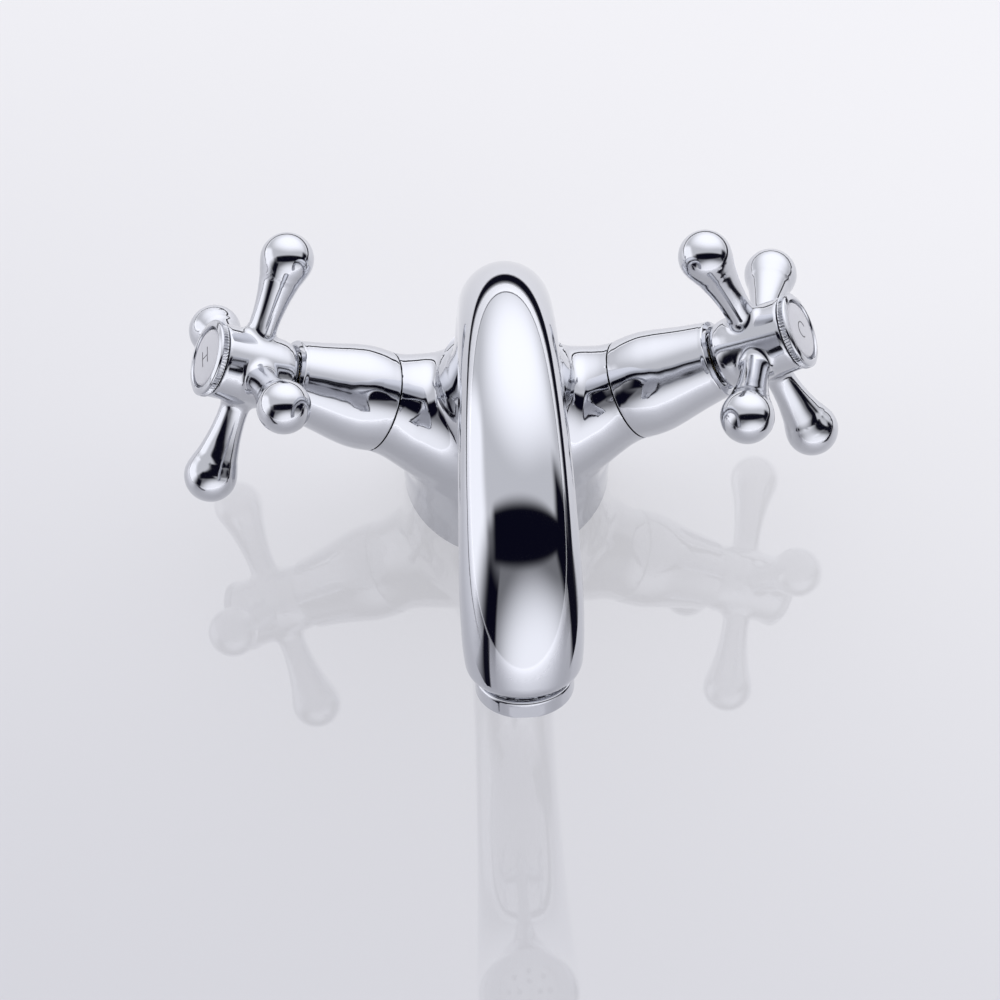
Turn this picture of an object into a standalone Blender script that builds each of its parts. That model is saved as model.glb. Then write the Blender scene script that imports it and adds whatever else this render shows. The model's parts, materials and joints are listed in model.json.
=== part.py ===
"""Deck-mounted basin mixer: one cast body with a leaning neck and an arched spout, two quarter-turn
valves on arms that rise to either side, cross handles, and an aerator in the spout's end.

Metres, +Z up. The origin is the centre of the base's underside, the spout points along -Y and the
hot valve is on -X. Each valve is modelled upright, with its own axis as local +Z, under an empty that
leans it into place: a height in a valve's part is its distance from the body's middle.
"""

import math

import bmesh
import bpy
from mathutils import Matrix, Vector

# Body
BASE_RADIUS = 0.025
BASE_HEIGHT = 0.0235
BODY_TOP = 0.046

# Spout: a neck that rises from the body, then an arc about ARC_CENTRE, both in the plane x = 0.
# Angles are from the vertical through the arc's centre, forward positive.
ARC_CENTRE_Y = -0.0570
ARC_CENTRE_Z = 0.0665
ARC_RADIUS = 0.0497
ARC_START = math.radians(-90)
ARC_END = math.radians(68.4)
NECK_FOOT_Y = -0.0020
NECK_FOOT_Z = 0.0200
WATERWAY_RADIUS = 0.0068

# Half width (x) and half thickness (in the plane) of the spout, along its spine, which runs from
# 0 at the neck's foot over 1 at the arc's start to 2 at the spout's end.
SPOUT_SECTIONS = (
    (0.00, 0.0200, 0.0190),
    (0.35, 0.0176, 0.0160),
    (0.58, 0.0154, 0.0138),
    (0.80, 0.0134, 0.0122),
    (1.00, 0.0118, 0.0114),
    (1.20, 0.0108, 0.0113),
    (1.50, 0.0116, 0.0113),
    (1.72, 0.0128, 0.0113),
    (1.88, 0.0135, 0.0113),
    (1.95, 0.0131, 0.0113),
    (1.98, 0.0125, 0.0112),
    (2.00, 0.0116, 0.0110),
)

# Valves: both axes meet at this point in the body and rise outwards
VALVE_Y = -0.0036
VALVE_Z = 0.0221
VALVE_RISE = math.radians(29.7)
SEAM = 0.0345
SOCKET_FLOOR = 0.0135
SOCKET_RADIUS = 0.0091
HANDLE_PLANE = 0.0691
REST_TURN = {"left": math.radians(40.1), "right": math.radians(-22.1)}

# Cross handle
HUB_RADIUS = 0.0087
ARM_REACH = 0.0276
BALL_RADIUS = 0.0066
ARMS = 4
SPINDLE_RADIUS = 0.0036
SPLINE_TEETH = 16
KNURL_TEETH = 40

# Aerator, along its own axis from the spout's end face
AERATOR_RADIUS = 0.0108
AERATOR_DEPTH = 0.0082
AERATOR_BORE = 0.0099

# Underside
INLET_X = 0.0102
INLET_RADIUS = 0.0048
STUD_Y = 0.0150
STUD_RADIUS = 0.0036
HOLE_DEPTH = 0.0135

GAP = 0.0003
OVERRUN = 0.002

MATERIALS = {
    "chrome": ((0.80, 0.81, 0.84), 0.05, 1.0),
    "brass": ((0.78, 0.60, 0.28), 0.30, 1.0),
    "steel": ((0.60, 0.60, 0.61), 0.30, 1.0),
    "ceramic": ((0.90, 0.89, 0.86), 0.25, 0.0),
    "enamel": ((0.88, 0.88, 0.90), 0.15, 0.0),
    "rubber": ((0.03, 0.03, 0.03), 0.70, 0.0),
    "plastic": ((0.85, 0.86, 0.88), 0.40, 0.0),
}


def clear_scene():
    for obj in list(bpy.data.objects):
        bpy.data.objects.remove(obj, do_unlink=True)


def material(name):
    made = bpy.data.materials.get(name)
    if made is None:
        colour, roughness, metallic = MATERIALS[name]
        made = bpy.data.materials.new(name)
        made.use_nodes = True
        shader = made.node_tree.nodes["Principled BSDF"]
        shader.inputs["Base Color"].default_value = (*colour, 1.0)
        shader.inputs["Roughness"].default_value = roughness
        shader.inputs["Metallic"].default_value = metallic
    return made


def new_object(name, bm, parent=None, finish="chrome"):
    """Turns the bmesh into an object, with its faces pointing out and its round faces smooth."""
    bmesh.ops.remove_doubles(bm, verts=bm.verts, dist=1e-7)
    bmesh.ops.recalc_face_normals(bm, faces=bm.faces)
    mesh = bpy.data.meshes.new(name)
    bm.to_mesh(mesh)
    bm.free()
    mesh.shade_smooth()
    mesh.set_sharp_from_angle(angle=math.radians(35))
    obj = bpy.data.objects.new(name, mesh)
    obj.data.materials.append(material(finish))
    bpy.context.scene.collection.objects.link(obj)
    obj.parent = parent
    return obj


def helper(obj):
    """A cutter, or a shape that a union adds to another object."""
    obj.hide_render = True
    obj.display_type = "WIRE"
    return obj


def boolean(obj, other, operation):
    modifier = obj.modifiers.new(f"{operation.lower()} {other.name}", "BOOLEAN")
    modifier.operation = operation
    modifier.object = helper(other)
    modifier.solver = "EXACT"


def turned(name, profile, parent=None, finish="chrome", segments=24):
    """A solid of revolution about local Z. The profile is (radius, height) points: from axis to axis
    for a plain solid, or a closed loop for one with a hole through it."""
    bm = bmesh.new()
    verts = [bm.verts.new((radius, 0, height)) for radius, height in profile]
    edges = [bm.edges.new(pair) for pair in zip(verts, verts[1:])]
    if profile[0][0] > 0:
        edges.append(bm.edges.new((verts[-1], verts[0])))
    bmesh.ops.spin(bm, geom=verts + edges, cent=(0, 0, 0), axis=(0, 0, 1),
                   angle=math.tau, steps=segments, use_duplicate=False)
    return new_object(name, bm, parent, finish)


def tube(inner, outer, low, high):
    """The profile of a plain ring or sleeve."""
    return ((inner, low), (outer, low), (outer, high), (inner, high))


def rod(radius, low, high):
    """The profile of a plain round bar."""
    return ((0, low), (radius, low), (radius, high), (0, high))


def ring_profile(centre, section_radius, height, points=6):
    """The profile of an O-ring."""
    steps = (math.tau * i / points for i in range(points))
    return tuple((centre + section_radius * math.cos(a), height + section_radius * math.sin(a))
                 for a in steps)


def prism(name, outline, low, high, parent=None, finish="chrome"):
    """A flat outline of (x, y) points, raised from low to high along local Z."""
    bm = bmesh.new()
    face = bm.faces.new([bm.verts.new((x, y, low)) for x, y in outline])
    raised = bmesh.ops.extrude_face_region(bm, geom=[face])["geom"]
    moved = [item for item in raised if isinstance(item, bmesh.types.BMVert)]
    bmesh.ops.translate(bm, verts=moved, vec=(0, 0, high - low))
    return new_object(name, bm, parent, finish)


def toothed_outline(tip, root, teeth):
    """A spline's or a knurl's outline, with a pointed tooth at each pitch."""
    pitch = math.tau / teeth
    steps = ((0.0, root), (0.5, tip))
    return [(radius * math.cos(pitch * (i + share)), radius * math.sin(pitch * (i + share)))
            for i in range(teeth) for share, radius in steps]


def polygon_outline(corner_radius, sides):
    return [(corner_radius * math.cos(math.tau * i / sides),
             corner_radius * math.sin(math.tau * i / sides)) for i in range(sides)]


def loft(name, rings, parent=None, finish="chrome"):
    """Skins a row of equal rings and closes both ends."""
    bm = bmesh.new()
    rows = [[bm.verts.new(point) for point in ring] for ring in rings]
    count = len(rows[0])
    for row, following in zip(rows, rows[1:]):
        for i in range(count):
            j = (i + 1) % count
            bm.faces.new((row[i], row[j], following[j], following[i]))
    bm.faces.new(reversed(rows[0]))
    bm.faces.new(rows[-1])
    return new_object(name, bm, parent, finish)


def spine(at):
    """(point, forward direction) on the spout's spine: 0 to 1 is the neck, 1 to 2 is the arc."""
    share = max(at, 1.0) - 1.0
    angle = ARC_START + share * (ARC_END - ARC_START)
    forward = Vector((0, -math.cos(angle), -math.sin(angle)))
    point = Vector((0, ARC_CENTRE_Y - ARC_RADIUS * math.sin(angle),
                    ARC_CENTRE_Z + ARC_RADIUS * math.cos(angle)))
    if at < 1:
        root_y = ARC_CENTRE_Y + ARC_RADIUS
        point = Vector((0, NECK_FOOT_Y + (root_y - NECK_FOOT_Y) * math.sin(at * math.pi / 2),
                        NECK_FOOT_Z + (ARC_CENTRE_Z - NECK_FOOT_Z) * at))
    return point, forward


def section_size(at):
    """Half width and half thickness at a place on the spine, eased between the listed sections."""
    for (low, *start), (high, *end) in zip(SPOUT_SECTIONS, SPOUT_SECTIONS[1:]):
        if at <= high:
            share = (at - low) / (high - low)
            return [a + (b - a) * share for a, b in zip(start, end)]
    return SPOUT_SECTIONS[-1][1:]


def section_ring(at, half_width, half_thickness, count):
    """An ellipse across the spine."""
    point, forward = spine(at)
    across = forward.cross(Vector((1, 0, 0)))
    angles = (math.tau * i / count for i in range(count))
    return [point + Vector((half_width * math.cos(a), 0, 0)) + across * half_thickness * math.sin(a)
            for a in angles]


def valve_frame(side):
    """An empty at the valves' meeting point, whose local Z is this valve's axis, pointing out."""
    sign = -1 if side == "left" else 1
    frame = bpy.data.objects.new(f"valve_axis_{side}", None)
    frame.location = (0, VALVE_Y, VALVE_Z)
    frame.rotation_euler = (0, sign * (math.pi / 2 - VALVE_RISE), 0)
    bpy.context.scene.collection.objects.link(frame)
    return frame


def valve_point(side, along):
    """A point on a valve's axis, in the row frame."""
    sign = -1 if side == "left" else 1
    return Vector((sign * along * math.cos(VALVE_RISE), VALVE_Y,
                   VALVE_Z + along * math.sin(VALVE_RISE)))


def bar_between(name, start, end, radius, segments=10):
    """A round bar from one point to another, as a cutter for a drilled passage."""
    along = end - start
    bar = turned(name, rod(radius, 0, along.length), segments=segments)
    bar.location = start
    bar.rotation_mode = "QUATERNION"
    bar.rotation_quaternion = along.to_track_quat("Z", "Y")
    return bar


def body_casting(valves):
    """Base, arms, neck and spout in one casting, with its sockets, inlets and waterways."""
    shoulder = BASE_RADIUS - 0.0015
    base = ((0, 0), (BASE_RADIUS - 0.0006, 0), (BASE_RADIUS, 0.0006), (BASE_RADIUS, BASE_HEIGHT),
            (shoulder, BASE_HEIGHT + 0.0025), (0.0210, 0.030), (0.0180, 0.037), (0.0155, BODY_TOP),
            (0, BODY_TOP))
    body = turned("body_casting", base, segments=40)
    places = [0.2 * i for i in range(5)] + [1 + 0.09 * i for i in range(10)] + [1.9, 1.95, 1.98, 2]
    rings = [section_ring(at, *section_size(at), 22) for at in places]
    boolean(body, loft("spout_form", rings), "UNION")
    arm = ((0, 0.001), (0.0220, 0.001), (0.0212, 0.007), (0.0190, 0.0135), (0.0160, 0.021),
           (0.0134, 0.0270), (0.0123, 0.0305), (0.0122, SEAM - 0.0006), (0.0117, SEAM), (0, SEAM))
    for side, frame in valves.items():
        boolean(body, turned(f"arm_form_{side}", arm, frame, segments=28), "UNION")
    hole = HOLE_DEPTH + OVERRUN
    for side, frame in valves.items():
        boolean(body, bar_between(f"socket_cut_{side}", valve_point(side, SOCKET_FLOOR),
                                  valve_point(side, SEAM + OVERRUN), SOCKET_RADIUS, 25),
                "DIFFERENCE")
        foot = valve_point(side, SOCKET_FLOOR)
        sign = math.copysign(1, foot.x)
        low = Vector((sign * INLET_X, VALVE_Y, -OVERRUN))
        boolean(body, bar_between(f"inlet_cut_{side}", low, low + Vector((0, 0, hole)),
                                  INLET_RADIUS, 16), "DIFFERENCE")
        boolean(body, bar_between(f"riser_cut_{side}", low + Vector((0, 0, hole - 3 * GAP)),
                                  Vector((low.x, VALVE_Y, foot.z + 0.0035)), 0.0030), "DIFFERENCE")
        chamber, _ = spine(0.24)
        boolean(body, bar_between(f"outlet_cut_{side}", valve_point(side, 0.0235), chamber,
                                  0.0028), "DIFFERENCE")
    channel = [0.17, 0.60] + [1.0 + 0.13 * i for i in range(8)]
    rings = [section_ring(at, WATERWAY_RADIUS, WATERWAY_RADIUS, 11) for at in channel]
    boolean(body, loft("waterway_cut", rings), "DIFFERENCE")
    boolean(body, aerator_part("aerator_seat_cut", rod(AERATOR_BORE, -AERATOR_DEPTH, OVERRUN), 25),
            "DIFFERENCE")
    stud_foot = Vector((0, STUD_Y, -OVERRUN))
    boolean(body, bar_between("stud_cut", stud_foot, stud_foot + Vector((0, 0, hole)),
                              STUD_RADIUS, 12), "DIFFERENCE")
    groove = turned("seal_groove_cut", tube(0.0205, 0.0235, -OVERRUN, 0.0018), segments=32)
    boolean(body, groove, "DIFFERENCE")
    return body


def aerator_part(name, profile, segments=24, finish="chrome"):
    """A turned piece on the aerator's axis, which leaves the spout's end face as local +Z."""
    point, forward = spine(2.0)
    piece = turned(name, profile, finish=finish, segments=segments)
    piece.location = point
    piece.rotation_mode = "QUATERNION"
    piece.rotation_quaternion = forward.to_track_quat("Z", "X")
    return piece


def aerator():
    """Housing with a thread and spanner flats, the insert it holds, and the washer above them."""
    face = 0.0047
    thread = AERATOR_BORE - GAP
    top = -0.0063
    housing = aerator_part("aerator_housing", (
        (0.0083, top), (thread, top), (thread, GAP), (AERATOR_RADIUS - 0.0003, GAP),
        (AERATOR_RADIUS, 2 * GAP), (AERATOR_RADIUS, face - 0.0005), (AERATOR_RADIUS - 0.0005, face),
        (0.0074, face), (0.0074, face - 0.0010), (0.0083, face - 0.0010)), 28)
    for number, sign in enumerate((-1, 1), 1):
        flat = prism(f"spanner_flat_cut_{number}", ((-0.008, 0), (0.008, 0), (0.008, 0.004),
                                                    (-0.008, 0.004)), 0.0013, face + OVERRUN)
        point, forward = spine(2.0)
        across = forward.cross(Vector((1, 0, 0))) * sign
        flat.matrix_world = Matrix((
            (sign, across.x, forward.x, point.x + across.x * (AERATOR_RADIUS - 0.0006)),
            (0, across.y, forward.y, point.y + across.y * (AERATOR_RADIUS - 0.0006)),
            (0, across.z, forward.z, point.z + across.z * (AERATOR_RADIUS - 0.0006)),
            (0, 0, 0, 1)))
        boolean(housing, flat, "DIFFERENCE")
    insert = aerator_part("aerator_insert", (
        (0, -0.0045), (0.0060, -0.0045), (0.0060, -0.0025), (0.0080, -0.0025),
        (0.0080, face - 0.0013), (0, face - 0.0013)), 24, "plastic")
    for ring, count in ((0.0052, 8), (0.0026, 4)):
        for i in range(count):
            angle = math.tau * i / count
            jet = aerator_part(f"jet_cut_{count}_{i}", rod(0.0008, -0.0020, face), 6)
            turn = Matrix.Translation((ring * math.cos(angle), ring * math.sin(angle), 0))
            jet.data.transform(turn)
            boolean(insert, jet, "DIFFERENCE")
    aerator_part("aerator_washer", tube(0.0070, thread, -0.0079, top - GAP), 24, "rubber")


def bonnet_cover(side, frame):
    """The bell that hides the valve's hexagon and carries the line from the arm to the handle."""
    outside = ((0.0117, SEAM + GAP), (0.0123, SEAM + 0.0008), (0.0125, 0.0385), (0.0123, 0.0420),
               (0.0115, 0.0460), (0.0105, 0.0510), (0.0096, 0.0555), (0.0093, 0.0580),
               (0.0089, 0.0590))
    inside = ((SPINDLE_RADIUS + 2 * GAP, 0.0590), (SPINDLE_RADIUS + 2 * GAP, 0.0581),
              (0.0076, 0.0578), (0.0076, 0.0550), (0.0065, 0.0545), (0.0065, 0.0495),
              (0.0085, 0.0488), (0.0108, 0.0430), (0.0108, SEAM + GAP))
    return turned(f"bonnet_cover_{side}", outside + inside, frame, segments=28)


def cartridge(side, frame):
    """The pieces of the quarter-turn valve that stand still in the body's socket."""
    body = turned(f"cartridge_body_{side}", (
        (0.0060, 0.0150), (0.0076, 0.0150), (0.0076, 0.0205), (0.0088, 0.0212),
        (0.0088, SEAM - 0.0010), (0.0080, SEAM - 0.0010), (0.0080, SEAM + 0.0045),
        (0.0062, SEAM + 0.0052), (0.0062, 0.0555), (0.0041, 0.0555),
        (0.0041, 0.0276), (0.0060, 0.0276)), frame, "brass", 20)
    hexagon = prism(f"hexagon_form_{side}", polygon_outline(0.0100, 6), SEAM + 0.0016,
                    SEAM + 0.0050, frame)
    boolean(body, hexagon, "UNION")
    bore = turned(f"spindle_bore_cut_{side}", rod(0.0041, 0.0270, 0.0570), frame, segments=20)
    boolean(body, bore, "DIFFERENCE")
    for number in range(2):
        window = prism(f"window_cut_{side}_{number}", ((0.0040, -0.0030), (0.0100, -0.0030),
                                                       (0.0100, 0.0030), (0.0040, 0.0030)),
                       0.0222, 0.0262, frame)
        window.data.transform(Matrix.Rotation(math.pi * (number + 0.5), 4, "Z"))
        boolean(body, window, "DIFFERENCE")
    turned(f"cartridge_gasket_{side}", ring_profile(0.0100, 0.0005, SEAM + 0.0008), frame,
           "rubber", 24)
    turned(f"seat_seal_{side}", tube(0.0034, 0.0056, SOCKET_FLOOR + GAP, 0.0157), frame,
           "rubber", 20)
    disc = turned(f"fixed_disc_{side}", rod(0.0057, 0.0160, 0.0190), frame, "ceramic", 24)
    port = prism(f"fixed_port_cut_{side}", half_ring_outline(0.0012, 0.0046), 0.0150, 0.0200, frame)
    boolean(disc, port, "DIFFERENCE")
    notch = prism(f"fixed_key_cut_{side}", ((-0.0008, -0.0065), (0.0008, -0.0065),
                                            (0.0008, -0.0050), (-0.0008, -0.0050)),
                  0.0150, 0.0200, frame)
    boolean(disc, notch, "DIFFERENCE")


def half_ring_outline(inner, outer, steps=8, spread=math.radians(150)):
    """The outline of a ceramic disc's port."""
    angles = [spread * (i / steps - 0.5) for i in range(steps + 1)]
    rim = [(outer * math.cos(a), outer * math.sin(a)) for a in angles]
    return rim + [(inner * math.cos(a), inner * math.sin(a)) for a in reversed(angles)]


def spindle_group(side, frame):
    """What turns with the handle inside the cartridge."""
    disc = turned(f"moving_disc_{side}", rod(0.0057, 0.0193, 0.0223), frame, "ceramic", 24)
    port = prism(f"moving_port_cut_{side}", half_ring_outline(0.0012, 0.0046), 0.0180, 0.0230,
                 frame)
    boolean(disc, port, "DIFFERENCE")
    spindle = turned(f"spindle_{side}", (
        (0, 0.0226), (0.0055, 0.0226), (0.0055, 0.0262), (SPINDLE_RADIUS, 0.0262),
        (SPINDLE_RADIUS, 0.0430), (0.0027, 0.0430), (0.0027, 0.0446), (SPINDLE_RADIUS, 0.0446),
        (SPINDLE_RADIUS, 0.0561), (0.0029, 0.0561), (0.0029, 0.0573), (SPINDLE_RADIUS, 0.0573),
        (SPINDLE_RADIUS, 0.0610), (0, 0.0610)), frame, "brass", 24)
    outline = toothed_outline(0.0039, 0.0034, SPLINE_TEETH)
    boolean(spindle, prism(f"spline_form_{side}", outline, 0.0605, 0.0715, frame), "UNION")
    thread = turned(f"screw_hole_cut_{side}", rod(0.0019, 0.0630, 0.0730), frame, segments=14)
    boolean(spindle, thread, "DIFFERENCE")
    turned(f"spindle_o_ring_{side}", ring_profile(0.0034, 0.0005, 0.0438), frame, "rubber", 20)
    turned(f"thrust_washer_{side}", tube(0.0039, 0.0056, 0.0265, 0.0273), frame, "plastic", 20)
    clip = turned(f"circlip_{side}", tube(0.0032, 0.0052, 0.0563, 0.0571), frame,
                  "steel", 20)
    mouth = prism(f"circlip_mouth_cut_{side}", ((0.0010, -0.0014), (0.0070, -0.0014),
                                                (0.0070, 0.0014), (0.0010, 0.0014)),
                  0.0550, 0.0580, frame)
    boolean(clip, mouth, "DIFFERENCE")


def cross_handle(side, frame):
    """The hub and its four ball-ended arms, with a recess for the cap and a bore for the spindle."""
    plane = HANDLE_PLANE
    hub = turned(f"cross_handle_{side}", (
        (0, plane - 0.0098), (0.0078, plane - 0.0098), (0.0078, plane - 0.0074),
        (0.0080, plane - 0.0070), (0.0085, plane - 0.0050), (HUB_RADIUS, plane - 0.0020),
        (HUB_RADIUS, plane + 0.0085), (HUB_RADIUS - 0.0004, plane + 0.0089),
        (0, plane + 0.0089)), frame, segments=28)
    arm = ((0, 0.0060), (0.0038, 0.0060), (0.0035, 0.0110), (0.0038, 0.0160), (0.0046, 0.0200),
           (0.0054, 0.0228))
    first = math.radians(-35)
    ball = [(BALL_RADIUS * math.cos(first + (math.pi / 2 - first) * i / 5),
             ARM_REACH + BALL_RADIUS * math.sin(first + (math.pi / 2 - first) * i / 5))
            for i in range(5)]
    profile = arm + tuple(ball) + ((0, ARM_REACH + BALL_RADIUS),)
    for number in range(ARMS):
        spoke = turned(f"arm_{side}_{number}", profile, frame, segments=14)
        turn = REST_TURN[side] + math.tau * number / ARMS
        spoke.data.transform(Matrix.Translation((0, 0, plane)) @ Matrix.Rotation(turn, 4, "Z")
                             @ Matrix.Rotation(math.pi / 2, 4, "Y"))
        boolean(hub, spoke, "UNION")
    cuts = {
        "bore_cut": rod(0.0042, plane - 0.0120, plane + 0.0030),
        "screw_way_cut": rod(0.0022, plane, plane + 0.0080),
        "cap_recess_cut": rod(0.0072, plane + 0.0055, plane + 0.0120),
    }
    for name, cut in cuts.items():
        boolean(hub, turned(f"{name}_{side}", cut, frame, segments=18), "DIFFERENCE")


def handle_cap(side, frame):
    """The screw that holds the handle, and the knurled ring and index disc that hide it."""
    plane = HANDLE_PLANE
    screw = turned(f"handle_screw_{side}", (
        (0, plane - 0.0050), (0.0015, plane - 0.0050), (0.0015, plane + 0.0058),
        (0.0034, plane + 0.0058), (0.0034, plane + 0.0073), (0.0028, plane + 0.0080),
        (0, plane + 0.0080)), frame, "steel", 20)
    slot = prism(f"screw_slot_cut_{side}", ((-0.004, -0.0004), (0.004, -0.0004), (0.004, 0.0004),
                                            (-0.004, 0.0004)), plane + 0.0070, plane + 0.0090, frame)
    boolean(screw, slot, "DIFFERENCE")
    ring = turned(f"index_ring_{side}", (
        (0.0056, plane + 0.0058), (0.0069, plane + 0.0058), (0.0069, plane + 0.0092),
        (0.0086, plane + 0.0092), (0.0086, plane + 0.0106), (0.0083, plane + 0.0110),
        (0.0074, plane + 0.0113), (0.0071, plane + 0.0112), (0.0071, plane + 0.0094),
        (0.0056, plane + 0.0094)), frame, segments=24)
    band = prism(f"knurl_form_{side}", toothed_outline(0.0091, 0.0088, KNURL_TEETH),
                 plane + 0.0093, plane + 0.0107, frame)
    core = turned(f"knurl_core_cut_{side}", rod(0.0078, plane + 0.008, plane + 0.012), frame)
    boolean(band, core, "DIFFERENCE")
    boolean(ring, band, "UNION")
    turned(f"index_disc_{side}", (
        (0, plane + 0.0097), (0.0068, plane + 0.0097), (0.0068, plane + 0.0108),
        (0.0063, plane + 0.0111), (0.0040, plane + 0.0114), (0, plane + 0.0116)), frame,
        "enamel", 28)


def base_seal():
    """The O-ring in the groove of the base, level with the underside."""
    turned("base_seal", ring_profile(0.0220, 0.0007, 0.0008), finish="rubber", segments=32)


def build():
    clear_scene()
    valves = {side: valve_frame(side) for side in ("left", "right")}
    bpy.context.view_layer.update()
    body_casting(valves)
    base_seal()
    aerator()
    for side, frame in valves.items():
        bonnet_cover(side, frame)
        cartridge(side, frame)
        spindle_group(side, frame)
        cross_handle(side, frame)
        handle_cap(side, frame)


build()
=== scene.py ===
"""Looks for the basin mixer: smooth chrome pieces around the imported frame, a pale studio and a camera.

The castings are modelled as fields, whose zero surface is the metal: turned and swept shapes that
blend into each other as cast metal does. metal() turns a field into a mesh. The turned pieces are
plain profiles. Lengths are in metres.
"""

import json
import math

import bmesh
import bpy
import numpy as np
from mathutils import Matrix, Vector


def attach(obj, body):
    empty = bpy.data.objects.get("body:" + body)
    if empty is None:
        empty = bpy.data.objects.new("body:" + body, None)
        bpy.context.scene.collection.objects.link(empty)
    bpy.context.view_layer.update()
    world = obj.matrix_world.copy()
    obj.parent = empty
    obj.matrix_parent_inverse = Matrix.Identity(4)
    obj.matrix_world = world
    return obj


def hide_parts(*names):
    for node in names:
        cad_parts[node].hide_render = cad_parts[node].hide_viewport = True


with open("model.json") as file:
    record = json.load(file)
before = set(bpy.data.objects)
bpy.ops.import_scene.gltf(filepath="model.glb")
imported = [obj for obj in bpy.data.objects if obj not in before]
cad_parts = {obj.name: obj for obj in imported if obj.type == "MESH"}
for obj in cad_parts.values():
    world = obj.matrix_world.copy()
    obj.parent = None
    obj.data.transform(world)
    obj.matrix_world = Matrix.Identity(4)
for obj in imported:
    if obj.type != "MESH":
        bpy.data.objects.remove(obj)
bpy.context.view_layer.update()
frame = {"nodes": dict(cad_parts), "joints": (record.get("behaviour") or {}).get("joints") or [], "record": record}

SIDES = ("left", "right")
JOINTS = {side: next(j for j in frame["joints"] if j["name"] == f"{side}_handle_turn")
          for side in SIDES}
X, Y, Z = np.eye(3)

# Body
VALVE_Y, VALVE_Z = -0.0036, 0.0221
VALVE_AXIS = {side: np.array(JOINTS[side]["axis"]) for side in SIDES}
VALVE_ORIGIN = np.array((0, VALVE_Y, VALVE_Z))
HANDLE_PLANE = 0.0691
SEAM = 0.0345
SOCKET_FLOOR = 0.0135
SOCKET_RADIUS = 0.0091
BODY_TOP = 0.048
INLET_X, INLET_RADIUS = 0.0102, 0.0048
STUD_Y, STUD_RADIUS = 0.0150, 0.0036
HOLE_DEPTH = 0.0135
SEAL_GROOVE = {"inner": 0.0205, "outer": 0.0235, "depth": 0.0018}
UNDERSIDE_GAP = 0.00002

# Spout: a neck up to the height of the arc's centre, then the arc, as angles from the vertical
ARC_CENTRE = np.array((0, -0.0570, 0.0665))
ARC_RADIUS = 0.0497
ARC_START, ARC_END = math.radians(-90), math.radians(68.4)
NECK_FOOT_Y, NECK_FOOT_Z = -0.0020, 0.0200
OUTLET_RADIUS, OUTLET_DEPTH = 0.0090, 0.0082

# Handles
REST_TURN = {"left": math.radians(40.1), "right": math.radians(-22.1)}
BALL_REACH = 0.0276
BALL_RADIUS = 0.0063
KNURL_TEETH, KNURL_DEPTH = 72, 0.00028

# Aerator ring, about its own axis from the spout's end face
RING_RADIUS, RING_TOP, RING_FOOT = 0.01075, 0.0003, 0.0047
RING_FLAT, RING_FLAT_TOP = 0.0101, 0.0014

# Studio lights as the chrome sees them. "Height" runs from the front horizon (0) over the zenith
# (90) to the back horizon (180), "side" is the angle to the right of that arc, "turn" goes round
# from the front (0) to the right (90), "rise" is above the horizon. Degrees.
SOFTBOX = {"height": (138, 58), "side": (12, 66), "edge": 0.80, "gain": 0.82}
FRONT_LIGHT = {"height": (-4, 52), "side": (14, 62), "edge": 0.24, "gain": 1.15}
SOFTBOX_FOOT = (58, 72)
LEFT_WALL = {"side": (-48, -60), "rise": (40, 22), "gain": 1.45}
DARK_BAND = ((41, 47, 67, 76), (-50, -38, 84, 90))
DARK_POST_LEFT = ((-84, -54, -42, -38), (-20, -19, 22, 40))
DARK_POST_RIGHT = ((66, 74, 96, 108), (-20, -19, 14, 26))

LIGHT_COLOUR = (0.955, 0.960, 1.0)
SHADE_COLOUR = (0.004, 0.004, 0.012)

# A painted reflection: the floor's dark gap, a dark sheet that only the chrome sees and that paints the chrome's
# dark lines. For each eighth of a turn from the right over the back: where it starts, is darkest and has faded
# out, and how dark it gets
GAP_RINGS = ((0.34, 0.60, 1.10, 1), (0.32, 0.60, 0.95, 1), (0.30, 0.50, 0.80, 1),
             (0.36, 0.44, 0.56, 1), (0.46, 0.47, 0.52, 1), (0.46, 0.47, 0.52, 0),
             (0.90, 0.91, 0.93, 0), (0.40, 0.60, 0.90, 0))
GAP_STEPS = 96
GAP_EDGE = 0.02
GAP_LIFT = 0.0008
# colour of the painted reflections: the dark sheets that only the chrome sees
PAINTED_REFLECTION_COLOUR = (0.006, 0.006, 0.014)

# Painted reflections: the posts' dark mirror images, as dark sheets on the floor that only the chrome sees, given
# as turns about the spout's end
PAINTED_POST_REFLECTIONS = {"left_post_painted_reflection": (-78, -59, -52, -49), "right_post_painted_reflection": (68, 78, 92, 104)}
POST_IMAGE_REACH = (0.16, 2.5)
POST_IMAGE_LIFT = 0.0011

# The floor, with painted light: its colour is painted paler from the front left to the back right, and a painted
# glow lightens its shadows
FLOOR_HALF = 6.0
FLOOR_NEAR, FLOOR_FAR = (0.62, 0.62, 0.66), (0.86, 0.855, 0.875)
FLOOR_PAINTED_LIGHT_FADE, FLOOR_SLANT = (-0.25, 0.22), 0.45
FLOOR_PAINTED_GLOW, FLOOR_SHADED = 0.52, 0.50
FLOOR_INDEX = 1.78

# Camera
CAMERA_PLACE = (-0.014375, -0.516354, 0.845015)
CAMERA_AZIMUTH, CAMERA_ELEVATION, CAMERA_ROLL = (math.radians(a) for a in (-1.400, 59.016, -1.489))
CAMERA_LENS = 144.15

# Meshing: grid steps, and how far apart a field is read for its slope
CAST_STEP = 0.0009
HANDLE_STEP = 0.00055
AERATOR_STEP = 0.00032
PROBE = 0.00004
KEEP_MIDDLE = 0.03


# Fields

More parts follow.
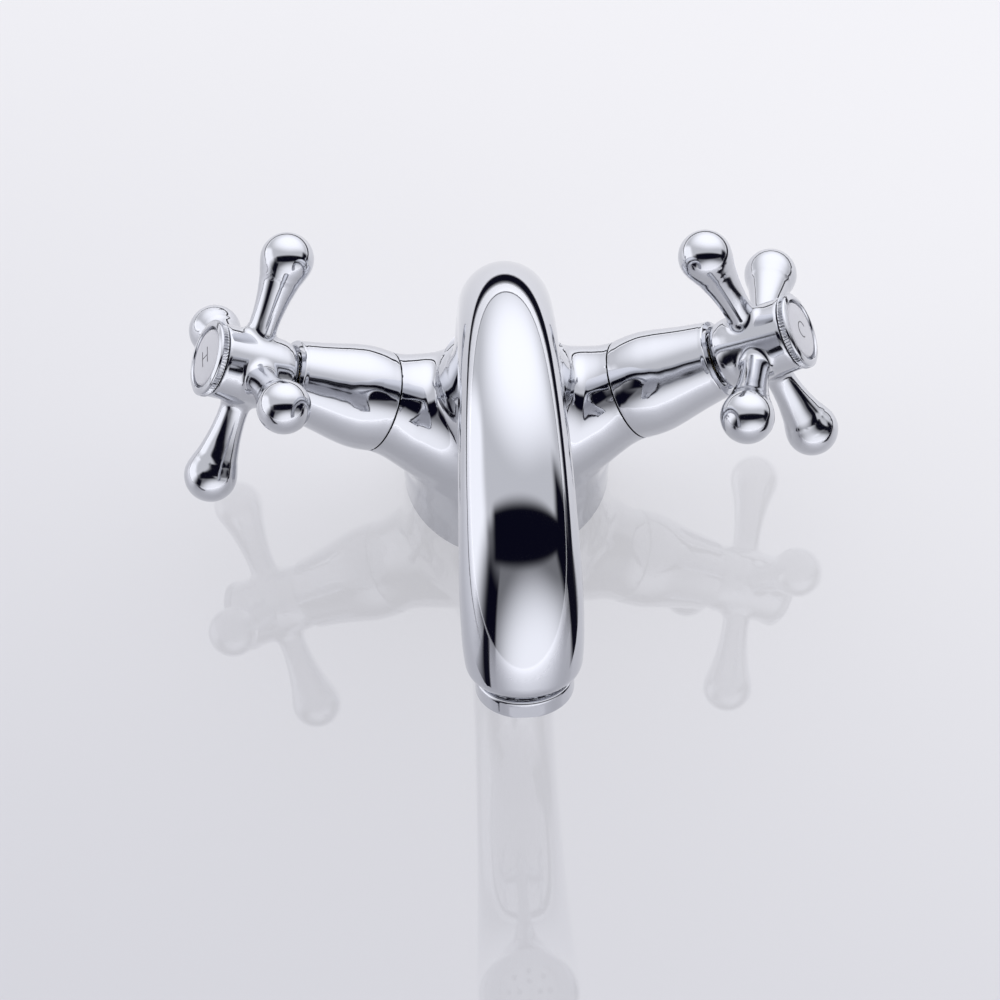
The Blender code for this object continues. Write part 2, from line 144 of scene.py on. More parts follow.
def smooth_curve(at, stations, values):
    """A smooth curve through the values, by cubic pieces."""
    at = np.clip(at, stations[0], stations[-1])
    stations, values = np.asarray(stations), np.asarray(values)
    slopes = np.gradient(values, stations)
    left = np.clip(np.searchsorted(stations, at) - 1, 0, len(stations) - 2)
    span = stations[left + 1] - stations[left]
    t = (at - stations[left]) / span
    start = values[left] * (1 + 2 * t) + slopes[left] * span * t
    end = values[left + 1] * (3 - 2 * t) + slopes[left + 1] * span * (t - 1)
    return start * (1 - t) ** 2 + end * t * t


def union(first, second, blend):
    """Both shapes, with their seam filled as by a fillet."""
    share = np.clip(0.5 + 0.5 * (second - first) / blend, 0, 1)
    return second + (first - second) * share - blend * share * (1 - share)


def cut(field, tool, blend=0.0):
    """The first shape without the second, with the new edge rounded where blend is given."""
    if blend:
        return -union(-field, tool, blend)
    return np.maximum(field, -tool)


def turned_field(points, origin, axis, stations, radii):
    """A shape turned about an axis, without ends."""
    along = (points - origin) @ axis
    off = np.linalg.norm(points - origin - along[:, None] * axis, axis=1)
    return off - smooth_curve(along, stations, radii)


def slab_field(points, origin, axis, low, high):
    """What lies between two planes across an axis."""
    along = (points - origin) @ axis
    return np.maximum(low - along, along - high)


def drill_field(points, origin, axis, radius, low, high):
    """A plain round bar, for a drilled hole."""
    round_part = turned_field(points, origin, axis, (low, high), (radius, radius))
    return np.maximum(round_part, slab_field(points, origin, axis, low, high))


def arc_point(angle):
    """The point on the spout's spine at an angle, and the direction in which the spine runs on."""
    point = ARC_CENTRE + ARC_RADIUS * np.array((0, -math.sin(angle), math.cos(angle)))
    return point, np.array((0, -math.cos(angle), -math.sin(angle)))


def spout_field(points):
    """The neck and the arched spout, closed and rounded at the outlet."""
    offset = points - ARC_CENTRE
    angle = np.arctan2(-offset[:, 1], offset[:, 2])
    on_arc = (offset[:, 2] > 0) | (offset[:, 1] < 0)
    rise = (points[:, 2] - NECK_FOOT_Z) / (ARC_CENTRE[2] - NECK_FOOT_Z)
    share = (angle - ARC_START) / (ARC_END - ARC_START)
    at = np.where(on_arc, 1 + np.clip(share, 0, 1), np.clip(rise, 0, 1))
    root_y = ARC_CENTRE[1] + ARC_RADIUS
    neck_y = NECK_FOOT_Y + (root_y - NECK_FOOT_Y) * np.sin(np.clip(rise, 0, 1) * math.pi / 2)
    outward = np.where(on_arc, np.hypot(offset[:, 1], offset[:, 2]) - ARC_RADIUS,
                       points[:, 1] - neck_y)
    stations = (0.00, 0.35, 0.58, 0.80, 1.00, 1.20, 1.50, 1.72, 1.88, 1.96, 2.00)
    half_widths = (19.5, 17.5, 15.2, 13.2, 11.6, 10.6, 11.4, 12.6, 13.3, 13.0, 12.4)
    half_depths = (18.5, 15.6, 13.6, 12.0, 11.2, 11.0, 11.0, 11.0, 11.0, 11.0, 11.0)
    wide = smooth_curve(at, stations, np.array(half_widths) / 1000)
    deep = smooth_curve(at, stations, np.array(half_depths) / 1000)
    tube = (np.hypot(points[:, 0] / wide, outward / deep) - 1) * (wide + deep) / 2
    tip, forward = arc_point(ARC_END)
    end = np.where(at > 1.5, (points - tip) @ forward, -0.02)
    return cut(tube, -end, 0.0032)


def body_field(points):
    """Base, arms, neck and spout as one casting, with its sockets and holes."""
    dome_heights = np.array((0.0, 21.5, 23.0, 24.5, 27.0, 30.5, 35.0, 42.0, 48.0)) / 1000
    dome_radii = np.array((25.0, 25.0, 24.7, 23.6, 21.2, 18.9, 16.8, 14.8, 13.0)) / 1000
    dome = turned_field(points, 0 * Z, Z, dome_heights, dome_radii)
    dome = np.maximum(dome, points[:, 2] - BODY_TOP)
    shape = union(dome, spout_field(points), 0.008)
    arm_stations = np.array((0.0, 7.0, 13.5, 21.0, 26.5, 30.0, 32.5, 34.5)) / 1000
    arm_radii = np.array((21.4, 19.6, 17.7, 15.4, 13.6, 12.6, 12.2, 12.1)) / 1000
    for axis in VALVE_AXIS.values():
        arm = turned_field(points, VALVE_ORIGIN, axis, arm_stations, arm_radii)
        arm = np.maximum(arm, slab_field(points, VALVE_ORIGIN, axis, 0.0, SEAM))
        shape = union(shape, arm, 0.0034)
    shape = np.maximum(shape, UNDERSIDE_GAP - points[:, 2])
    for side, axis in VALVE_AXIS.items():
        shape = cut(shape, drill_field(points, VALVE_ORIGIN, axis, SOCKET_RADIUS, SOCKET_FLOOR, 0.04))
        inlet = np.array((math.copysign(INLET_X, axis[0]), VALVE_Y, 0))
        shape = cut(shape, drill_field(points, inlet, Z, INLET_RADIUS, -0.01, HOLE_DEPTH))
    shape = cut(shape, drill_field(points, STUD_Y * Y, Z, STUD_RADIUS, -0.01, HOLE_DEPTH))
    groove = np.maximum(drill_field(points, 0 * Z, Z, SEAL_GROOVE["outer"], -0.01,
                                    SEAL_GROOVE["depth"]),
                        SEAL_GROOVE["inner"] - np.hypot(points[:, 0], points[:, 1]))
    shape = cut(shape, groove)
    tip, forward = arc_point(ARC_END)
    return cut(shape, drill_field(points, tip, forward, OUTLET_RADIUS, -OUTLET_DEPTH, 0.02))


def handle_field(points, turn):
    """A hub with four ball-ended arms, about local Z, and the recess for its cap."""
    origin = np.zeros(3)
    hub = turned_field(points, origin, Z,
                       np.array((-10.1, -9.6, -8.6, -7.2, -5.2, -3.0, 0.0, 8.8)) / 1000,
                       np.array((6.6, 7.25, 7.95, 8.4, 8.65, 8.75, 8.8, 8.8)) / 1000)
    hub = cut(hub, -slab_field(points, origin, Z, -0.0100, 0.0088), 0.0004)
    angle = np.arctan2(points[:, 1], points[:, 0]) - turn
    angle = angle - np.round(angle / (math.pi / 2)) * math.pi / 2
    reach = np.hypot(points[:, 0], points[:, 1])
    along, beside = reach * np.cos(angle), reach * np.sin(angle)
    off = np.hypot(beside, points[:, 2])
    stem = off - smooth_curve(along, np.array((8.0, 12.0, 15.0, 18.0, 21.0, 23.5)) / 1000,
                              np.array((3.55, 3.45, 3.65, 4.05, 4.65, 5.2)) / 1000)
    stem = np.maximum(stem, np.maximum(0.004 - along, along - 0.0250))
    ball = np.hypot(off, along - BALL_REACH) - BALL_RADIUS
    shape = union(hub, union(stem, ball, 0.0012), 0.0018)
    for radius, low, high in ((0.0042, -0.02, 0.003), (0.0022, 0.0, 0.01), (0.0072, 0.0055, 0.02)):
        shape = cut(shape, drill_field(points, origin, Z, radius, low, high))
    return shape


# Meshes

def slope_of(field, points):
    """The field's unit gradient, which is the metal's normal."""
    slopes = np.stack([field(points + PROBE * axis) - field(points - PROBE * axis)
                       for axis in (X, Y, Z)], axis=1)
    return slopes / np.maximum(np.linalg.norm(slopes, axis=1, keepdims=True), 1e-12)


def settle(field, points, rounds):
    """Moves points that are near the surface onto it."""
    for _ in range(rounds):
        values = field(points)
        slopes = np.stack([field(points + PROBE * axis) - field(points - PROBE * axis)
                           for axis in (X, Y, Z)], axis=1) / (2 * PROBE)
        steep = np.maximum((slopes ** 2).sum(axis=1), 0.25)
        points = points - slopes * (values / steep)[:, None]
    return points


def crossings(values, corner, step):
    """For each grid edge that the surface crosses: its place, direction and lower corner."""
    found = []
    for axis in range(3):
        near = np.take(values, range(values.shape[axis] - 1), axis)
        far = np.take(values, range(1, values.shape[axis]), axis)
        cells = np.argwhere((near < 0) != (far < 0))
        start, stop = near[tuple(cells.T)], far[tuple(cells.T)]
        places = corner + cells * step
        places[:, axis] += step * start / (start - stop)
        found.append((axis, cells, places))
    return found


def grid_values(field, corner, sizes, step):
    """The field at every point of a grid, read slice by slice."""
    rows = [corner[i] + step * np.arange(sizes[i]) for i in range(3)]
    return np.stack([field(np.stack(np.meshgrid([x], rows[1], rows[2], indexing="ij"),
                                    axis=-1).reshape(-1, 3)).reshape(sizes[1:])
                     for x in rows[0]])


def cells_round(cells, axis, sizes):
    """The four grid cells round each crossed edge, in order."""
    u, v = [other for other in range(3) if other != axis]
    ring = []
    for back_u, back_v in ((0, 0), (1, 0), (1, 1), (0, 1)):
        cell = cells.copy()
        cell[:, u] -= back_u
        cell[:, v] -= back_v
        ring.append(np.ravel_multi_index(cell.T, sizes))
    return ring


def meeting_points(places, normals, owner, count):
    """For each cell, where the planes through its crossings meet, kept near their middle."""
    def gather(weights):
        return np.bincount(owner, weights=weights)

    middle = np.stack([gather(places[:, i]) / count for i in range(3)], axis=1)
    reach = (normals * (places - middle[owner])).sum(axis=1)
    matrix = np.zeros((len(count), 3, 3))
    target = np.zeros((len(count), 3))
    for i in range(3):
        target[:, i] = gather(normals[:, i] * reach)
        for j in range(3):
            matrix[:, i, j] = gather(normals[:, i] * normals[:, j]) + (KEEP_MIDDLE if i == j else 0)
    return middle + np.linalg.solve(matrix, target[:, :, None])[:, :, 0]


def metal(name, field, low, high, step):
    """A mesh of the field's surface, by dual contouring: one vertex in each grid cell that the
    surface passes, placed where the planes through the cell's crossings meet, so edges stay crisp."""
    corner = np.asarray(low) - step
    sizes = np.ceil((np.asarray(high) + step - corner) / step).astype(int) + 1
    places, owners, quads, outward = [], [], [], []
    for axis, cells, points in crossings(grid_values(field, corner, sizes, step), corner, step):
        ring = cells_round(cells, axis, sizes)
        points = settle(field, points, 1)
        places.append(np.tile(points, (4, 1)))
        owners.append(np.concatenate(ring))
        quads.append(np.stack(ring, axis=1))
        outward.append(slope_of(field, points))
    quads, normals = np.concatenate(quads), np.concatenate([np.tile(n, (4, 1)) for n in outward])
    places, owners, outward = np.concatenate(places), np.concatenate(owners), np.concatenate(outward)
    cells, owner = np.unique(owners, return_inverse=True)
    verts = meeting_points(places, normals, owner, np.bincount(owner))
    cell_low = corner + step * np.stack(np.unravel_index(cells, sizes), axis=1)
    verts = np.clip(verts, cell_low - 0.1 * step, cell_low + 1.1 * step)
    verts = settle(field, verts, 2)
    faces = np.searchsorted(cells, quads)
    facing = np.cross(verts[faces[:, 2]] - verts[faces[:, 0]], verts[faces[:, 3]] - verts[faces[:, 1]])
    flipped = (facing * outward).sum(axis=1) < 0
    faces[flipped] = faces[flipped][:, ::-1]
    mesh = bpy.data.meshes.new(name)
    mesh.from_pydata(verts.tolist(), [], faces.tolist())
    mesh.shade_smooth()
    smooth_by_field(mesh, field, verts, faces)
    return linked(name, mesh)


def linked(name, data):
    """An object with this mesh or curve, in the scene."""
    obj = bpy.data.objects.new(name, data)
    bpy.context.scene.collection.objects.link(obj)
    return obj


def smooth_by_field(mesh, field, verts, faces):
    """Sets the shading normals from the field. A corner on a crisp edge takes its own face's side."""
    at_vertex = slope_of(field, verts)[faces]
    ring = verts[faces]
    flat = np.cross(ring[:, 2] - ring[:, 0], ring[:, 3] - ring[:, 1])
    flat /= np.maximum(np.linalg.norm(flat, axis=1, keepdims=True), 1e-15)
    inside = ring + 0.4 * (ring.mean(axis=1, keepdims=True) - ring)
    at_inside = slope_of(field, inside.reshape(-1, 3)).reshape(ring.shape)
    crisp = (at_vertex * flat[:, None]).sum(axis=2) < math.cos(math.radians(22))
    normals = np.where(crisp[:, :, None], at_inside, at_vertex)
    mesh.normals_split_custom_set(normals.reshape(-1, 3).tolist())


def arc(centre, radius, start, end, steps):
    """Profile points round a fillet, with angles in degrees from the radius direction."""
    angles = [math.radians(start + (end - start) * i / steps) for i in range(steps + 1)]
    return [(centre[0] + radius * math.cos(a), centre[1] + radius * math.sin(a)) for a in angles]


def eased(points, steps=6):
    """More points on a smooth curve through a profile's points."""
    count = len(points)
    stations = np.concatenate(([0], np.cumsum(np.hypot(*np.diff(np.array(points), axis=0).T))))
    fine = np.concatenate([np.linspace(stations[i], stations[i + 1], steps, endpoint=False)
                           for i in range(count - 1)] + [stations[-1:]])
    columns = [smooth_curve(fine, stations, [p[k] for p in points]) for k in range(2)]
    return list(zip(*columns))


def lathe(name, profile, segments=96, teeth=0, tooth_depth=0.0, band=(0, 0, 0)):
    """A closed loop of (radius, height) points turned about local Z. Teeth cut a knurl in a band,
    given as its lowest and highest height and its least radius."""
    steps = teeth * 6 if teeth else segments
    bm = bmesh.new()
    rows = []
    for i in range(steps):
        turn = math.tau * i / steps
        notch = tooth_depth * (0.5 - 0.5 * math.cos(teeth * turn))
        row = []
        for radius, height in profile:
            inset = notch if band[0] < height < band[1] and radius > band[2] else 0
            row.append(bm.verts.new(((radius - inset) * math.cos(turn),
                                     (radius - inset) * math.sin(turn), height)))
        rows.append(row)
    count = len(profile)
    for i in range(steps):
        row, following = rows[i], rows[(i + 1) % steps]
        for j in range(count):
            k = (j + 1) % count
            bm.faces.new((row[j], following[j], following[k], row[k]))
    bmesh.ops.remove_doubles(bm, verts=bm.verts, dist=1e-8)
    bmesh.ops.dissolve_degenerate(bm, edges=bm.edges, dist=1e-9)
    bmesh.ops.recalc_face_normals(bm, faces=bm.faces)
    mesh = bpy.data.meshes.new(name)
    bm.to_mesh(mesh)
    bm.free()
    mesh.shade_smooth()
    mesh.set_sharp_from_angle(angle=math.radians(32))
    return linked(name, mesh)


def place(obj, origin, axis):
    """Moves a piece made about local Z onto an axis, in its mesh, and keeps its shading normals."""
    axis = Vector(axis)
    side = Vector((0, 1, 0)).cross(axis).normalized()
    turn = Matrix((side, axis.cross(side), axis)).transposed().to_4x4()
    obj.data.transform(Matrix.Translation(origin) @ turn)


# Materials

def new_material(name, colour, metallic, roughness):
    """A material with one Principled shader, and that shader."""
    made = bpy.data.materials.new(name)
    made.use_nodes = True
    shader = made.node_tree.nodes["Principled BSDF"]
    shader.inputs["Base Color"].default_value = (*colour, 1)
    shader.inputs["Metallic"].default_value = metallic
    shader.inputs["Roughness"].default_value = roughness
    return made, shader


def noise(tree, scale, detail):
    """A noise texture in object space. Returns its value socket."""
    nodes, links = tree.nodes, tree.links
    coords = nodes.new("ShaderNodeTexCoord")
    texture = nodes.new("ShaderNodeTexNoise")
    texture.inputs["Scale"].default_value = scale
    texture.inputs["Detail"].default_value = detail
    links.new(coords.outputs["Object"], texture.inputs["Vector"])
    return texture.outputs["Fac"]


def drive(tree, source, socket, low, high):
    """Sends a noise value to a socket, mapped onto a range."""
    nodes, links = tree.nodes, tree.links
    ramp = nodes.new("ShaderNodeMapRange")
    ramp.inputs["From Min"].default_value = 0.35
    ramp.inputs["From Max"].default_value = 0.65
    ramp.inputs["To Min"].default_value = low
    ramp.inputs["To Max"].default_value = high
    links.new(source, ramp.inputs["Value"])
    links.new(ramp.outputs["Result"], socket)


def tint(tree, source, socket, first, second):
    """Varies a colour between two by a value from 0 to 1."""
    mix = tree.nodes.new("ShaderNodeMix")
    mix.data_type = "RGBA"
    mix.inputs["A"].default_value = (*first, 1)
    mix.inputs["B"].default_value = (*second, 1)
    tree.links.new(source, mix.inputs["Factor"])
    tree.links.new(mix.outputs["Result"], socket)


def bump(tree, source, shader, distance):
    """Relief from a value, as deep as the distance."""
    node = tree.nodes.new("ShaderNodeBump")
    node.inputs["Distance"].default_value = distance
    node.inputs["Strength"].default_value = 1.0
    tree.links.new(source, node.inputs["Height"])
    tree.links.new(node.outputs["Normal"], shader.inputs["Normal"])


def chrome(name, haze, wave=0.0):
    """Polished plating: nearly mirror-smooth, with faint wiping haze and, if cast, a slow ripple."""
    made, shader = new_material(name, (0.62, 0.63, 0.665), 1.0, 0.03)
    tree = made.node_tree
    drive(tree, noise(tree, 45, 4), shader.inputs["Roughness"], *haze)
    tint(tree, noise(tree, 20, 2), shader.inputs["Base Color"], (0.61, 0.62, 0.655), (0.635, 0.645, 0.68))
    if wave:
        bump(tree, noise(tree, 38, 1), shader, wave)
    return made


def speckled(name, colour, second, metallic, rough, grain, depth):
    """A plainer finish with some grain: brass, steel, rubber, ceramic, plastic or enamel."""
    made, shader = new_material(name, colour, metallic, rough[0])
    tree = made.node_tree
    texture = noise(tree, grain, 5)
    drive(tree, texture, shader.inputs["Roughness"], *rough)
    tint(tree, texture, shader.inputs["Base Color"], colour, second)
    bump(tree, texture, shader, depth)
    return made


def make_materials():
    """A material for each slot of the record, and one for the letters."""
    cast = chrome("cast_chrome", (0.030, 0.050), 0.00003)
    turned = chrome("turned_chrome", (0.045, 0.065))
    handled = chrome("handle_chrome", (0.075, 0.105))
    plastic = speckled("pale_plastic", (0.78, 0.79, 0.81), (0.85, 0.86, 0.88), 0.0, (0.30, 0.45),
                       1200, 0.000006)
    return {
        "chromed_body": cast,
        "chromed_handles": handled,
        "chromed_covers": turned,
        "chromed_aerator": turned,
        "brass": speckled("machined_brass", (0.72, 0.52, 0.22), (0.80, 0.62, 0.30), 1.0, (0.22, 0.38),
                          900, 0.00001),
        "steel": speckled("stainless_steel", (0.52, 0.52, 0.53), (0.62, 0.62, 0.63), 1.0,
                          (0.22, 0.36), 700, 0.00001),
        "ceramic": speckled("lapped_ceramic", (0.84, 0.83, 0.79), (0.90, 0.89, 0.86), 0.0,
                            (0.18, 0.30), 1500, 0.000003),
        "rubber": speckled("nitrile_rubber", (0.018, 0.018, 0.018), (0.035, 0.034, 0.033), 0.0,
                           (0.55, 0.75), 1800, 0.00001),
        "aerator_plastic": plastic,
        "washer_plastic": plastic,
        "enamel": speckled("pale_enamel", (0.70, 0.70, 0.74), (0.74, 0.74, 0.78), 0.0, (0.08, 0.16),
                           300, 0.000004),
        "ink": speckled("dark_inlay", (0.03, 0.03, 0.04), (0.05, 0.05, 0.06), 0.0, (0.25, 0.40),
                        900, 0.000002),
    }


def finish_piece(obj, materials, slot, body, node=None):
    """Gives a piece its material and its body, and hides the CAD node that it stands for."""
    obj.data.materials.clear()
    obj.data.materials.append(materials[slot])
    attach(obj, body)
    if node:
        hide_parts(node)


# Pieces

def make_body(materials):
    """The casting, from its field."""
    low, high = (-0.036, -0.116, -0.001), (0.036, 0.026, 0.128)
    body = metal("body_and_spout", body_field, low, high, CAST_STEP)
    finish_piece(body, materials, "chromed_body", "mixer_body", "body_casting")


def make_bonnet_cover(side, materials):
    """A bell with a soft waist and a small rolled lip, hollow inside."""
    outside = eased([(0.01225, SEAM + 0.0010), (0.01240, 0.0380), (0.01225, 0.0415),
                     (0.01165, 0.0450), (0.01090, 0.0485), (0.01020, 0.0520), (0.00960, 0.0555),
                     (0.00925, 0.0577)])
    lip = arc((0.00885, 0.0582), 0.0004, 0, 90, 4) + arc((0.00800, 0.0586), 0.0004, 90, 180, 4)
    inside = [(0.0074, 0.0574), (0.0066, 0.0574), (0.0065, 0.0583), (0.0062, 0.0585),
              (0.0042, 0.0585), (0.0042, 0.0568), (0.0076, 0.0568),
              (0.0076, 0.0548), (0.0065, 0.0545), (0.0065, 0.0495), (0.0086, 0.0488),
              (0.0109, 0.0425), (0.0109, SEAM + 0.0003)]
    foot = arc((0.01190, SEAM + 0.0006), 0.0003, -90, 0, 6)
    cover = lathe(f"bonnet_bell_{side}", foot + outside + lip + inside)
    place(cover, VALVE_ORIGIN, VALVE_AXIS[side])
    finish_piece(cover, materials, "chromed_covers", "mixer_body", f"bonnet_cover_{side}")


def make_handle(side, materials):
    """The cross handle, meshed about its own axis and then put in place."""
    def field(points):
        return handle_field(points, REST_TURN[side])

    reach = BALL_REACH + BALL_RADIUS + 0.001
    handle = metal(f"cross_handle_cast_{side}", field, (-reach, -reach, -0.0106),
                   (reach, reach, 0.0094), HANDLE_STEP)
    place(handle, VALVE_ORIGIN + HANDLE_PLANE * VALVE_AXIS[side], VALVE_AXIS[side])
    finish_piece(handle, materials, "chromed_handles", f"{side}_handle", f"cross_handle_{side}")


def make_cap(side, materials):
    """The knurled ring and the enamelled disc in it, with a plain letter inlaid."""
    origin = VALVE_ORIGIN + HANDLE_PLANE * VALVE_AXIS[side]
    body = f"{side}_handle"
    knurl = [(0.0091, 0.00935 + 0.00016 * i) for i in range(9)]
    profile = ([(0.0056, 0.0058), (0.0069, 0.0058), (0.0069, 0.0090)]
               + arc((0.0086, 0.0093), 0.0002, -90, 0, 3) + knurl
               + arc((0.0083, 0.0106), 0.0005, 0, 60, 5)
               + arc((0.00765, 0.01100), 0.0003, 60, 170, 8)
               + [(0.00715, 0.0104), (0.00715, 0.0094), (0.0056, 0.0094)])
    ring = lathe(f"knurled_ring_{side}", profile, teeth=KNURL_TEETH, tooth_depth=KNURL_DEPTH,
                 band=(0.0094, 0.0106, 0.0088))
    place(ring, origin, VALVE_AXIS[side])
    finish_piece(ring, materials, "chromed_handles", body, f"index_ring_{side}")
    crown = eased([(0.0069, 0.0104), (0.0066, 0.0109), (0.0056, 0.01110), (0.0038, 0.01122),
                   (0.0018, 0.01128), (0.0, 0.01130)], 4)
    disc = lathe(f"enamel_disc_{side}", [(0.0, 0.0097), (0.0069, 0.0097)] + crown, 72)
    place(disc, origin, VALVE_AXIS[side])
    finish_piece(disc, materials, "enamel", body, f"index_disc_{side}")
    mark = make_mark(side)
    place(mark, origin, VALVE_AXIS[side])
    finish_piece(mark, materials, "ink", body)


def make_mark(side):
    """The inlaid letter, as thin bars: H for hot, C for cold."""
    if side == "left":
        strokes = [[(-0.0013, -0.0020), (-0.0013, 0.0020)], [(0.0013, -0.0020), (0.0013, 0.0020)],
                   [(-0.0013, 0.0), (0.0013, 0.0)]]
    else:
        angles = [math.radians(50 + 260 * i / 18) for i in range(19)]
        strokes = [[(0.0019 * math.cos(a), 0.0019 * math.sin(a)) for a in angles]]
    curve = bpy.data.curves.new(f"index_letter_{side}", "CURVE")
    curve.dimensions = "3D"
    curve.bevel_depth = 0.00017
    curve.bevel_resolution = 2
    curve.use_fill_caps = True
    for stroke in strokes:
        spline = curve.splines.new("POLY")
        spline.points.add(len(stroke) - 1)
        for point, (x, y) in zip(spline.points, stroke):
            point.co = (x, y, 0.01119, 1)
    return linked(f"index_letter_{side}", curve)


def aerator_field(points):
    """A ring about local Z with a rounded rim, two spanner flats and a thinner neck above it."""
    origin = np.zeros(3)
    off = np.hypot(points[:, 0], points[:, 1])
    ring = cut(off - RING_RADIUS, -slab_field(points, origin, Z, RING_TOP, RING_FOOT), 0.0008)
    flat = np.maximum(RING_FLAT - np.abs(points[:, 1]), RING_FLAT_TOP - points[:, 2])
    ring = cut(ring, flat)
    ring = np.minimum(ring, drill_field(points, origin, Z, 0.0096, -0.0063, 0.0010))
    ring = cut(ring, drill_field(points, origin, Z, 0.0083, -0.01, 0.0037))
    return cut(ring, off - 0.0074, 0.0006)


def make_aerator(materials):
    """The chromed ring under the spout, with two spanner flats."""
    tip, forward = arc_point(ARC_END)
    reach = 0.0112
    ring = metal("aerator_ring", aerator_field, (-reach, -reach, -0.0068), (reach, reach, 0.0052),
                 AERATOR_STEP)
    place(ring, tip, forward)
    finish_piece(ring, materials, "chromed_aerator", "mixer_body", "aerator_housing")


def dress_frame(materials):
    """Gives the CAD nodes that stay, most of them inside, their materials."""
    slots = {part["node"]: part["material_slot"] for part in frame["record"]["subparts"]}
    for name, obj in frame["nodes"].items():
        obj.data.materials.clear()
        obj.data.materials.append(materials[slots[name]])


# Studio

def make_floor():
    """A pale glossy floor with painted light: a painted glow keeps its shadows soft, and its colour is painted
    paler from the front left to the back right.
    """
    mesh = bpy.data.meshes.new("studio_floor")
    ends = ((-1, -1), (1, -1), (1, 1), (-1, 1))
    mesh.from_pydata([(FLOOR_HALF * x, FLOOR_HALF * y, 0) for x, y in ends], [], [(0, 1, 2, 3)])
    floor = linked("studio_floor", mesh)
    made, shader = new_material("glossy_floor", FLOOR_NEAR, 0.0, 0.02)
    shader.inputs["IOR"].default_value = FLOOR_INDEX
    tree = made.node_tree
    drive(tree, noise(tree, 6, 3), shader.inputs["Roughness"], 0.012, 0.03)
    coords = tree.nodes.new("ShaderNodeTexCoord")
    parts = tree.nodes.new("ShaderNodeSeparateXYZ")
    tree.links.new(coords.outputs["Object"], parts.inputs["Vector"])
    # painted light: the floor's colour and glow are painted paler from the darker front left to the back right, as
    # studio light falling off
    slant = formula(tree, "MULTIPLY", parts.outputs["X"], FLOOR_SLANT)
    share = step(tree, formula(tree, "ADD", parts.outputs["Y"], slant), *FLOOR_PAINTED_LIGHT_FADE)
    tint(tree, share, shader.inputs["Base Color"], *([FLOOR_SHADED * part for part in colour]
                                                     for colour in (FLOOR_NEAR, FLOOR_FAR)))
    tint(tree, share, shader.inputs["Emission Color"], FLOOR_NEAR, FLOOR_FAR)
    # painted glow: the floor glows, though it is no lamp, to lighten its own shadows
    shader.inputs["Emission Strength"].default_value = FLOOR_PAINTED_GLOW
    floor.data.materials.append(made)


def sheet_material(name):
    """A painted reflection's material: dark where the mesh's cover is 1 and clear where it is 0."""
    made = bpy.data.materials.new(name)
    made.use_nodes = True
    nodes, links = made.node_tree.nodes, made.node_tree.links
    nodes.clear()
    # painted reflection: a near-black glow that only the chrome sees
    dark = nodes.new("ShaderNodeEmission")
    dark.inputs["Color"].default_value = (*PAINTED_REFLECTION_COLOUR, 1)
    clear = nodes.new("ShaderNodeBsdfTransparent")
    cover = nodes.new("ShaderNodeAttribute")
    cover.attribute_name = "cover"
    mix = nodes.new("ShaderNodeMixShader")
    out = nodes.new("ShaderNodeOutputMaterial")
    links.new(cover.outputs["Fac"], mix.inputs["Fac"])
    links.new(clear.outputs["BSDF"], mix.inputs[1])
    links.new(dark.outputs["Emission"], mix.inputs[2])
    links.new(mix.outputs["Shader"], out.inputs["Surface"])
    return made


def painted_reflection_sheet(name, rows, closed):
    """A painted reflection: a dark sheet on the floor that only mirrors see. Each row has its points, with their
    cover.
    """
    count = len(rows[0])
    points = [point for row in rows for point, _ in row]
    faces = []
    for i in range(len(rows) if closed else len(rows) - 1):
        for k in range(count - 1):
            here, after = count * i + k, count * ((i + 1) % len(rows)) + k
            faces.append((here, here + 1, after + 1, after))
    mesh = bpy.data.meshes.new(name)
    mesh.from_pydata(points, [], faces)
    layer = mesh.attributes.new("cover", "FLOAT", "POINT")
    layer.data.foreach_set("value", [cover for row in rows for _, cover in row])
    mesh.materials.append(sheet_material(name))
    sheet = linked(name, mesh)
    # only glossy rays see the sheet, so it shows only as a painted reflection in the chrome
    sheet.visible_camera = False
    sheet.visible_diffuse = False
    sheet.visible_shadow = False


def make_painted_gap_reflection():
    """A painted reflection: the dark gap between the floor and the studio's walls, as a sheet on the floor that
    only the chrome sees, thick on the right and thin on the left and open in front. It paints the chrome's dark
    lines."""
    rows = []
    for i in range(GAP_STEPS):
        turn = math.tau * i / GAP_STEPS
        near, darkest, far, cover = smooth_between(turn, GAP_RINGS)
        edges = ((near - GAP_EDGE, 0), (near + GAP_EDGE, cover), (darkest + GAP_EDGE, cover),
                 (far + GAP_EDGE, 0))
        rows.append([((radius * math.cos(turn), radius * math.sin(turn), GAP_LIFT), share)
                     for radius, share in edges])
    painted_reflection_sheet("painted_horizon_gap_reflection", rows, True)


def make_painted_post_reflections():
    """Painted reflections: the posts' dark mirror images, as sheets on the floor that only the chrome sees, which
    run outwards from the spout's end.
    """
    spout_end, _ = arc_point(ARC_END)
    for name, turns in PAINTED_POST_REFLECTIONS.items():
        angles = [math.radians(turn) for turn in turns]
        rows = [[((reach * math.sin(a), spout_end[1] - reach * math.cos(a), POST_IMAGE_LIFT), cover)
                 for a, cover in zip(angles, (0, 1, 1, 0))]
                for reach in POST_IMAGE_REACH]
        painted_reflection_sheet(name, rows, False)


def smooth_between(turn, rings):
    """Smooth values round the circle, from those given at equal steps."""
    position = turn / math.tau * len(rings)
    first = int(position) % len(rings)
    share = 0.5 - 0.5 * math.cos(math.pi * (position - int(position)))
    return [a * (1 - share) + b * share for a, b in zip(rings[first], rings[(first + 1) % len(rings)])]


def formula(tree, kind, *terms):
    """A math node on sockets or numbers. Returns its result."""
    node = tree.nodes.new("ShaderNodeMath")
    node.operation = kind
    for slot, term in enumerate(terms):
        if isinstance(term, (int, float)):
            node.inputs[slot].default_value = term
        else:
            tree.links.new(term, node.inputs[slot])
    return node.outputs["Value"]


